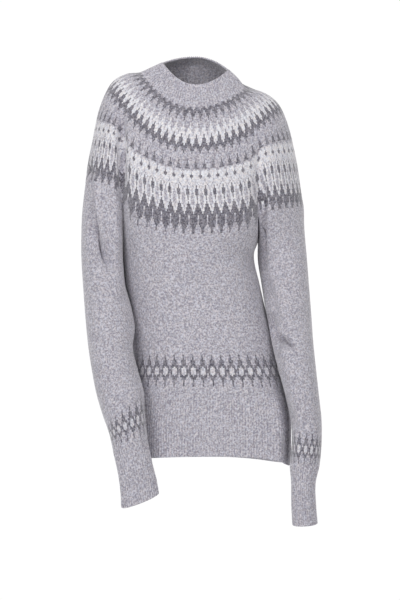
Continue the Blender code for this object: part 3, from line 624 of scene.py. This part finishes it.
class Cloth:
    """Points, triangles and yarns of one piece, gathered before they become a mesh."""

    def __init__(self, name, loft, folds, seed):
        self.name, self.loft, self.folds = name, loft, folds
        self.random = np.random.default_rng(seed)
        self.points, self.faces, self.yarns, self.tones, self.rims = [], [], [], [], []
        self.count = 0

    def add_points(self, points):
        """Keep a grid of points, and return their indices in the grid's shape."""
        index = self.count + np.arange(points[..., 0].size).reshape(points.shape[:-1])
        self.points.append(points.reshape(-1, 3))
        self.count += index.size
        return index

    def add_faces(self, faces, yarn=0, tone=TONE_MIDDLE):
        faces = faces.reshape(-1, 3)
        self.faces.append(faces)
        self.yarns.append(np.broadcast_to(np.ravel(yarn), len(faces)))
        self.tones.append(np.broadcast_to(np.ravel(tone), len(faces)))

    def zip_chains(self, first, first_at, second, second_at, flipped=False):
        """Triangles between two chains of vertices that run side by side."""
        faces, i, j = [], 0, 0
        while i < len(first) - 1 or j < len(second) - 1:
            move_first = j == len(second) - 1 or (
                i < len(first) - 1 and first_at[i + 1] <= second_at[j + 1])
            if move_first:
                faces.append((first[i], second[j], first[i + 1]))
                i += 1
            else:
                faces.append((first[i], second[j], second[j + 1]))
                j += 1
        faces = np.array(faces)
        self.add_faces(faces[:, ::-1] if flipped else faces)

    def knit(self, shares, knots, yarns, relief, closed):
        """A zone of stitches: two columns of points and four triangles for each stitch."""
        rows, stitches = yarns.shape
        is_centre = np.arange(len(shares)) % 2 == 1
        part = np.arange(rows + 1)[:, None] + np.where(is_centre, V_DEPTH, 0)[None, :] * (
            (np.arange(rows + 1) > 0) & (np.arange(rows + 1) < rows))[:, None]
        first, last = np.broadcast_to(knots[0], len(shares)), np.broadcast_to(knots[1], len(shares))
        points, normals = surface(self.folds, self.loft, shares, first + (last - first) * part / rows)
        uneven = self.random.normal(0, UNEVENNESS, points.shape[:-1])
        height = np.resize(relief, len(shares))[None, :] + uneven
        grid = self.add_points(points + normals * height[..., None])
        if closed:
            grid = np.concatenate([grid, grid[:, :1]], axis=1)
        edge, centre, after = grid[:, 0:-1:2], grid[:, 1::2], grid[:, 2::2]
        faces = np.stack([
            np.stack([edge[:-1], edge[1:], centre[1:]], axis=-1),
            np.stack([edge[:-1], centre[1:], centre[:-1]], axis=-1),
            np.stack([centre[:-1], centre[1:], after[:-1]], axis=-1),
            np.stack([centre[1:], after[1:], after[:-1]], axis=-1),
        ], axis=2)
        # Painted shade: the random tone of each stitch is darkened in rib valleys and lightened on ribs
        ribs = np.resize(relief, 2 * stitches)[1::2]
        tones = np.clip(self.random.normal(TONE_MIDDLE, TONE_SPREAD, (rows, stitches)), 0, 1)
        tones = tones + RIB_PAINTED_SHADE * (ribs - ribs.mean())
        self.add_faces(faces, np.repeat(yarns, 4), np.repeat(tones, 4))
        return grid

    def rounded_end(self, grid_row, shares, knot, direction, relief, closed):
        """Three rows that turn a free edge over towards the inside, with a round fold."""
        radius, upper = WALL / 2, grid_row
        for angle in END_ANGLES:
            points, normals = surface(self.folds, self.loft, shares, knot + direction * radius * np.sin(angle))
            height = np.resize(relief, len(shares)) * np.cos(angle) - radius * (1 - np.cos(angle))
            lower = self.add_points(points[0] + normals[0] * height[:, None])
            lower = np.concatenate([lower, lower[:1]]) if closed else lower
            quads = np.stack([upper[:-1], lower[:-1], lower[1:], upper[1:]], axis=-1)
            quads = quads[:, ::-1] if direction < 0 else quads
            self.add_faces(np.concatenate([quads[:, [0, 1, 2]], quads[:, [0, 2, 3]]]))
            upper = lower
        return upper

    def line(self, shares, knots, rows, closed):
        """The plain inside of the cloth."""
        first, last = np.broadcast_to(knots[0], len(shares)), np.broadcast_to(knots[1], len(shares))
        part = np.linspace(0, 1, rows + 1)[:, None]
        points, normals = surface(self.folds, self.loft, shares, first + (last - first) * part)
        grid = self.add_points(points - normals * WALL)
        if closed:
            grid = np.concatenate([grid, grid[:, :1]], axis=1)
        corners = [grid[:-1, :-1], grid[:-1, 1:], grid[1:, 1:], grid[1:, :-1]]
        quads = np.stack(corners, axis=-1).reshape(-1, 4)
        self.add_faces(np.concatenate([quads[:, [0, 1, 2]], quads[:, [0, 2, 3]]]))
        return grid

    def mark_rims(self, mesh):
        """Keep the shading of the outside apart from the rims, so that no line shows at a seam."""
        on_rim = np.zeros(self.count, bool)
        on_rim[np.concatenate(self.rims)] = True
        ends = np.empty(2 * len(mesh.edges), np.int32)
        mesh.edges.foreach_get("vertices", ends)
        sharp = on_rim[ends].reshape(-1, 2).all(axis=1)
        mesh.attributes.new("sharp_edge", "BOOLEAN", "EDGE").data.foreach_set("value", sharp)

    def build(self, finish):
        """Make the mesh object, with its yarns and tones as attributes of its faces; the tones carry the
        painted shade of rib valleys.
        """
        points = np.concatenate(self.points) * MM
        faces = np.concatenate(self.faces)
        mesh = bpy.data.meshes.new(self.name)
        mesh.from_pydata(points, [], faces)
        mesh.shade_smooth()
        self.mark_rims(mesh)
        yarns = np.concatenate(self.yarns)
        light = (yarns == YARN_CODES["L"]) + PALE_SHARE * (yarns == YARN_CODES["P"])
        values = {"dark": yarns == YARN_CODES["D"], "light": light, "tone": np.concatenate(self.tones)}
        for name, value in values.items():
            attribute = mesh.attributes.new(name, "FLOAT", "FACE")
            attribute.data.foreach_set("value", value.astype(np.float32))
        mesh.materials.append(finish)
        piece = bpy.data.objects.new(self.name, mesh)
        bpy.context.scene.collection.objects.link(piece)
        return piece


def closed_shares(stitches):
    """Shares of the edges and centres of stitches round a tube, the first centre at share 0."""
    return (np.arange(2 * stitches) - 1) / (2 * stitches)


def at_of(shares):
    """Shares of a closed loop of points, with the first one again at the end."""
    return np.append(shares, shares[0] + 1.0)


def tube(name, loft, folds, zones, seed, finish, relief=PLAIN_RELIEF, round_top=False, round_end=False):
    """A closed tube knitted in zones, each a tuple of its first and last knot and its yarns."""
    cloth = Cloth(name, loft, folds, seed)
    grids = []
    for first, last, yarns in zones:
        shares = closed_shares(yarns.shape[1])
        grids.append((shares, cloth.knit(shares, (first, last), yarns, relief, True)))
    for (upper_shares, upper), (lower_shares, lower) in zip(grids, grids[1:]):
        cloth.zip_chains(upper[-1], at_of(upper_shares), lower[0], at_of(lower_shares))
    top, end = grids[0][1][0], grids[-1][1][-1]
    if round_top:
        top = cloth.rounded_end(top, grids[0][0], zones[0][0], -1, relief, True)
    if round_end:
        end = cloth.rounded_end(end, grids[-1][0], zones[-1][1], 1, relief, True)
    shares = closed_shares(zones[-1][2].shape[1] // INNER_COLUMN_STEP)
    rows = sum(yarns.shape[0] for _, _, yarns in zones) // INNER_ROW_STEP
    last = zones[-1][1]
    inner = cloth.line(shares, (zones[0][0], last), rows, True)
    cloth.rims += [rim for rim, is_round in ((top, round_top), (end, round_end)) if not is_round]
    cloth.rims += [inner[0], inner[-1]]
    cloth.zip_chains(top, at_of(grids[0][0]), inner[0], at_of(shares), flipped=True)
    cloth.zip_chains(end, at_of(grids[-1][0]), inner[-1], at_of(shares))
    return cloth.build(finish)


def panel(name, loft, start, end, knots, yarns, seed, finish, relief=PLAIN_RELIEF, round_end=False):
    """An open panel of the body between two side seams."""
    cloth = Cloth(name, loft, "body", seed)
    stitches = yarns.shape[1]
    shares = np.linspace(start, end, 2 * stitches + 1)
    outer = cloth.knit(shares, knots, yarns, relief, False)
    bottom = outer[-1]
    if round_end:
        bottom = cloth.rounded_end(bottom, shares, knots[1], 1, relief, False)
    inner_shares = np.linspace(start, end, 2 * stitches // INNER_COLUMN_STEP + 1)
    inner = cloth.line(inner_shares, knots, yarns.shape[0] // INNER_ROW_STEP, False)
    cloth.rims += [outer[0], outer[:, 0], outer[:, -1], inner[0], inner[:, 0], inner[:, -1]]
    cloth.rims += [] if round_end else [outer[-1], inner[-1]]
    cloth.zip_chains(outer[0], shares, inner[0], inner_shares, flipped=True)
    cloth.zip_chains(bottom, shares, inner[-1], inner_shares)
    outer_at, inner_at = np.linspace(0, 1, len(outer)), np.linspace(0, 1, len(inner))
    cloth.zip_chains(outer[:, 0], outer_at, inner[:, 0], inner_at)
    cloth.zip_chains(outer[:, -1], outer_at, inner[:, -1], inner_at, flipped=True)
    return cloth.build(finish)


def tails(yoke_share, stitches):
    """Where the last dark tails of the yoke's repeat run on into the piece below it."""
    repeat = len(DIAMOND_CHART[0][1])
    column = yoke_share * YOKE_STITCHES[-1]
    return np.abs((column + repeat / 2) % repeat - repeat / 2) < YOKE_STITCHES[-1] / stitches / 2


def drawn_up(yarns, shares):
    """Let the last points of the yoke end in fewer rows where the yoke passes over an arm."""
    points = LOWER_EDGE.at(shares)
    over_left = 1 / (1 + np.exp((points[:, 0] - LEFT_ARMPIT_X) / ARM_LEVEL_EASE))
    over_right = 1 / (1 + np.exp((RIGHT_ARMPIT_X - points[:, 0]) / ARM_LEVEL_EASE))
    pace = 1 + LEFT_POINTS_PACE * over_left + RIGHT_POINTS_PACE * over_right
    rows = np.arange(len(yarns))[:, None]
    taken = np.round(LAST_POINTS_ROW + (rows - LAST_POINTS_ROW).clip(0) * pace).astype(int)
    taken = np.where(rows < LAST_POINTS_ROW, rows, taken)
    drawn = yarns[taken.clip(0, len(yarns) - 1), np.arange(yarns.shape[1])]
    return np.where(taken < len(yarns), drawn, drawn * (taken < len(yarns) + TAIL_ROWS))


def new_material(name):
    made = bpy.data.materials.new(name)
    made.use_nodes = True
    return made, made.node_tree.nodes, made.node_tree.links


def knit_material(name):
    """Brushed wool in grey, dark and light, each mottled between a deep and a pale fibre colour."""
    made, nodes, links = new_material(name)
    shader = nodes["Principled BSDF"]
    for socket, value in WOOL_SURFACE.items():
        shader.inputs[socket].default_value = value

    def add(kind, **settings):
        node = nodes.new(kind)
        for key, value in settings.items():
            setattr(node, key, value)
        return node

    def math(operation, first, second):
        node = add("ShaderNodeMath", operation=operation)
        for socket, value in zip(node.inputs, (first, second)):
            if isinstance(value, (int, float)):
                socket.default_value = value
            else:
                links.new(value, socket)
        return node.outputs[0]

    def mix(factor, first, second, blend="MIX"):
        node = add("ShaderNodeMix", data_type="RGBA", blend_type=blend)
        if isinstance(factor, float):
            node.inputs["Factor"].default_value = factor
        else:
            links.new(factor, node.inputs["Factor"])
        for socket, value in ((node.inputs[MIX_FIRST], first), (node.inputs[MIX_SECOND], second)):
            if isinstance(value, tuple):
                socket.default_value = (*value, 1.0)
            else:
                links.new(value, socket)
        return node.outputs[MIX_RESULT]

    def noise(scale, detail, stretch=(1, 1, 1)):
        mapping = add("ShaderNodeMapping")
        mapping.inputs["Scale"].default_value = stretch
        links.new(place, mapping.inputs["Vector"])
        node = add("ShaderNodeTexNoise")
        node.inputs["Scale"].default_value = scale
        node.inputs["Detail"].default_value = detail
        links.new(mapping.outputs["Vector"], node.inputs["Vector"])
        return node.outputs["Fac"]

    place = add("ShaderNodeTexCoord").outputs["Object"]
    dark = add("ShaderNodeAttribute", attribute_name="dark").outputs["Fac"]
    light = add("ShaderNodeAttribute", attribute_name="light").outputs["Fac"]
    tone = add("ShaderNodeAttribute", attribute_name="tone").outputs["Fac"]
    clumps = noise(CLUMP_SCALE, CLUMP_DETAIL)
    fibres = noise(FIBRE_SCALE, FIBRE_DETAIL, FIBRE_STRETCH)
    mottle_and_rib_shade = math("ADD", math("MULTIPLY", clumps, CLUMP_WEIGHT), math("MULTIPLY", fibres, FIBRE_WEIGHT))
    # The tone adds each stitch's random tone and the painted shade of rib valleys to the mottle
    mottle_and_rib_shade = math("ADD", mottle_and_rib_shade, math("MULTIPLY", tone, TONE_AND_RIB_SHADE_WEIGHT))
    mottle_and_rib_shade = math("SUBTRACT", mottle_and_rib_shade, (CLUMP_WEIGHT + FIBRE_WEIGHT + TONE_AND_RIB_SHADE_WEIGHT) / 2 - 0.5)
    mottle_and_rib_shade = math("MINIMUM", math("MAXIMUM", mottle_and_rib_shade, 0.0), 1.0)
    colour = mix(mottle_and_rib_shade, GREY_YARN.deep, GREY_YARN.pale)
    colour = mix(dark, colour, mix(mottle_and_rib_shade, DARK_YARN.deep, DARK_YARN.pale))
    colour = mix(light, colour, mix(mottle_and_rib_shade, LIGHT_YARN.deep, LIGHT_YARN.pale))
    tint = math("SUBTRACT", noise(TINT_SCALE, TINT_DETAIL), TINT_START)
    tint = math("MULTIPLY", tint, TINT_CONTRAST)
    tint = math("MINIMUM", math("MAXIMUM", tint, 0.0), 1.0)
    colour = mix(1.0, colour, mix(tint, WARM_TINT, COOL_TINT), "MULTIPLY")
    links.new(colour, shader.inputs["Base Color"])
    bump = add("ShaderNodeBump")
    bump.inputs["Strength"].default_value = BUMP_STRENGTH
    bump.inputs["Distance"].default_value = BUMP_DISTANCE
    links.new(math("ADD", fibres, math("MULTIPLY", clumps, BUMP_CLUMPS)), bump.inputs["Height"])
    links.new(bump.outputs["Normal"], shader.inputs["Normal"])
    return made


Cut = namedtuple("Cut", "width length area held hangs_from")
CUTS = {
    "collar": Cut(0.47, 0.045, 0.020, "stretched", ["knit_yoke"]),
    "yoke": Cut(1.13, 0.235, 0.242, "draped", []),
    "front_body": Cut(0.39, 0.32, 0.122, "hung", ["knit_yoke"]),
    "back_body": Cut(0.39, 0.34, 0.130, "hung", ["knit_yoke"]),
    "hem_rib_front": Cut(0.40, 0.125, 0.049, "hung", ["knit_front_body"]),
    "hem_rib_back": Cut(0.40, 0.13, 0.051, "hung", ["knit_back_body"]),
    "sleeve_left": Cut(0.36, 0.50, 0.138, "hung", ["knit_yoke"]),
    "sleeve_right": Cut(0.36, 0.50, 0.133, "hung", ["knit_yoke"]),
    "cuff_left": Cut(0.175, 0.115, 0.019, "stretched", ["knit_sleeve_left"]),
    "cuff_right": Cut(0.175, 0.115, 0.019, "stretched", ["knit_sleeve_right"]),
}


def dress(piece, node):
    """Let a piece stand for its node: hang it from the root and hide the node's part."""
    cut = CUTS[node]
    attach(piece, "root")
    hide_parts(node)
    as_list(cut.hangs_from)


def build_yoke(neck, knit, rib):
    collar_yarns = np.zeros((COLLAR_ROWS, 2 * COLLAR_RIBS), int)
    collar = tube("knit_collar", neck, "collar", [(NECK_KNOTS[0], 0.0, collar_yarns)], 1, rib,
                  relief=RIB_RELIEF, round_top=True)
    dress(collar, "collar")
    zones, row = [], 0
    for chart, stitches in zip(YOKE_CHARTS, YOKE_STITCHES):
        yarns = chart_rows(chart, stitches)
        if chart is DIAMOND_CHART:
            yarns = drawn_up(yarns, closed_shares(stitches)[1::2])
        first, row = row * ROW_HEIGHT, row + len(yarns)
        joint = 0 if chart is DIAMOND_CHART else ZONE_JOINT
        zones.append((first, row * ROW_HEIGHT - joint, yarns))
    dress(tube("knit_yoke", neck, "yoke", zones, 2, knit), "yoke")


def build_body(body, knit, rib):
    seam = body.knots[HEM_SEAM_RING + 1]
    half = BODY_STITCHES // 2
    for is_front, place, seed in ((True, "front", 3), (False, "back", 4)):
        start = -BODY_SIDE_SHARE / 2 if is_front else BODY_PANEL_SHARE + BODY_SIDE_SHARE / 2
        end = start + 0.5
        yarns = np.zeros((BODY_ROWS, half), int)
        first_stitch = 0 if is_front else half
        band = chart_rows(OVAL_CHART, BODY_STITCHES)[:, first_stitch:first_stitch + half]
        yarns[BODY_BAND_ROW:BODY_BAND_ROW + len(band)] = band
        centres = start + (np.arange(half) + 0.5) / half * (end - start)
        yoke_share, right, left = body_share_to_yoke(centres)
        under = ((right > 0) & (right < 1)) | ((left > 0) & (left < 1))
        yarns[:TAIL_ROWS, tails(yoke_share, TAIL_ROUND) & ~under] = 1
        piece = panel("knit_" + place + "_body", body, start, end,
                      (body.knots[0], seam), yarns, seed, knit)
        dress(piece, place + "_body")
        ribs = np.zeros((HEM_ROWS, HEM_RIBS), int)
        piece = panel("knit_hem_rib_" + place, body, start, end, (seam, body.knots[-1]), ribs,
                      seed + 2, rib, relief=RIB_RELIEF, round_end=True)
        dress(piece, "hem_rib_" + place)


def tilt(shares, reach):
    """Knots by which a band's start lies lower at the arm's outer side and higher at the inner one."""
    return reach * np.cos(2 * pi * (shares - SLEEVE_ARM_SHARE / 2))


def build_sleeve(sleeve, loft, seed, knit, rib):
    name = "sleeve_" + sleeve.name
    seam = loft.knots[sleeve.cuff_ring + 1]
    heights = [round_samples(loft.rows[0])[:, 2].mean()]
    heights += [ring_centre(ring)[2] for ring in sleeve.rings]
    band_knot = np.interp(-sleeve.band_z, -np.array(heights), loft.knots)
    band = chart_rows(OVAL_CHART, SLEEVE_STITCHES[-1])
    band_start = band_knot - BAND_SHARE_ABOVE * len(band) * SLEEVE_ROW
    knots = [*np.linspace(0, band_start - BAND_MARGIN_ROWS * SLEEVE_ROW, 3), seam]
    zones = []
    for first, last, stitches in zip(knots, knots[1:], SLEEVE_STITCHES):
        rows = round((last - first) / SLEEVE_ROW)
        yarns = np.zeros((rows, stitches), int)
        if stitches == SLEEVE_STITCHES[-1]:
            yarns[BAND_MARGIN_ROWS:BAND_MARGIN_ROWS + len(band)] = band
            last_knot = last
        else:
            last_knot = last - ZONE_JOINT
        if stitches == SLEEVE_STITCHES[1]:
            last_knot = last_knot + tilt(closed_shares(stitches), sleeve.band_tilt)
        if stitches == SLEEVE_STITCHES[2]:
            first = first + tilt(closed_shares(stitches), sleeve.band_tilt)
        zones.append((first, last_knot, yarns))
    dress(tube("knit_" + name, loft, name, zones, seed, knit), name)
    rows = round((loft.knots[-1] - seam) / SLEEVE_ROW)
    zones = [(seam, loft.knots[-1], np.zeros((rows, 2 * CUFF_RIBS), int))]
    cuff = tube("knit_cuff_" + sleeve.name, loft, name, zones, seed + 1, rib,
                relief=RIB_RELIEF, round_end=True)
    dress(cuff, "cuff_" + sleeve.name)


def build_stage():
    """A pale floor under the sweater."""
    far, near = FLOOR_BACK, -FLOOR_REACH
    sides = ((-FLOOR_REACH, near), (FLOOR_REACH, near), (FLOOR_REACH, far), (-FLOOR_REACH, far))
    corners = [(x, y, FLOOR_Z) for x, y in sides]
    mesh = bpy.data.meshes.new("floor")
    mesh.from_pydata(corners, [], [(0, 1, 2, 3)])
    made, nodes, _ = new_material("floor_paper")
    nodes["Principled BSDF"].inputs["Base Color"].default_value = PAPER
    nodes["Principled BSDF"].inputs["Roughness"].default_value = 1.0
    mesh.materials.append(made)
    floor = bpy.data.objects.new("floor", mesh)
    bpy.context.scene.collection.objects.link(floor)


def build_world():
    """A white studio that is bright behind the sweater and along the horizon, and dimmer elsewhere."""
    world = bpy.data.worlds.new("studio")
    world.use_nodes = True
    nodes, links = world.node_tree.nodes, world.node_tree.links
    direction = nodes.new("ShaderNodeTexCoord").outputs["Generated"]
    split = nodes.new("ShaderNodeSeparateXYZ")
    links.new(direction, split.inputs[0])
    height = nodes.new("ShaderNodeMath")
    height.operation = "ABSOLUTE"
    links.new(split.outputs["Z"], height.inputs[0])
    brighter = nodes.new("ShaderNodeMath")
    brighter.operation = "MAXIMUM"
    ramps = (
        (split.outputs["Y"], (*GLOW_FROM_Y, FRONT_GLOW, BACK_GLOW)),
        (height.outputs[0], (*GLOW_FROM_Z, HORIZON_GLOW, 0.0)),
    )
    for (place, values), socket in zip(ramps, brighter.inputs):
        ramp = nodes.new("ShaderNodeMapRange")
        for name, value in zip(("From Min", "From Max", "To Min", "To Max"), values):
            ramp.inputs[name].default_value = value
        links.new(place, ramp.inputs["Value"])
        links.new(ramp.outputs["Result"], socket)
    nodes["Background"].inputs["Color"].default_value = WHITE
    links.new(brighter.outputs[0], nodes["Background"].inputs["Strength"])
    bpy.context.scene.world = world


def build_light(lamp):
    """A large soft panel light that faces the middle of the sweater."""
    data = bpy.data.lights.new(lamp.name, "AREA")
    data.shape, data.size, data.energy = "SQUARE", lamp.size, lamp.power
    light = bpy.data.objects.new(lamp.name, data)
    light.location = lamp.place
    facing = Vector(LIT_POINT) - Vector(lamp.place)
    light.rotation_euler = facing.to_track_quat("-Z", "Y").to_euler()
    bpy.context.scene.collection.objects.link(light)


def build_view():
    """The camera at the photograph's place and the soft lights."""
    data = bpy.data.cameras.new("camera")
    data.sensor_fit, data.sensor_height, data.lens = "VERTICAL", SENSOR_HEIGHT, LENS
    camera = bpy.data.objects.new("camera", data)
    camera.location = CAMERA_PLACE
    camera.rotation_euler = (radians(90), 0, 0)
    bpy.context.scene.collection.objects.link(camera)
    bpy.context.scene.camera = camera
    bpy.context.scene.view_settings.view_transform = "Standard"
    for lamp in LAMPS:
        build_light(lamp)


def main():
    body = body_loft()
    sleeves = [sleeve_loft(sleeve) for sleeve in SLEEVES]
    knit = knit_material("brushed_heather")
    rib = knit_material("ribbed_heather")
    build_yoke(neck_loft(body, sleeves), knit, rib)
    build_body(body, knit, rib)
    for sleeve, loft, seed in zip(SLEEVES, sleeves, (11, 21)):
        build_sleeve(sleeve, loft, seed, knit, rib)
    build_stage()
    build_world()
    build_view()


main()
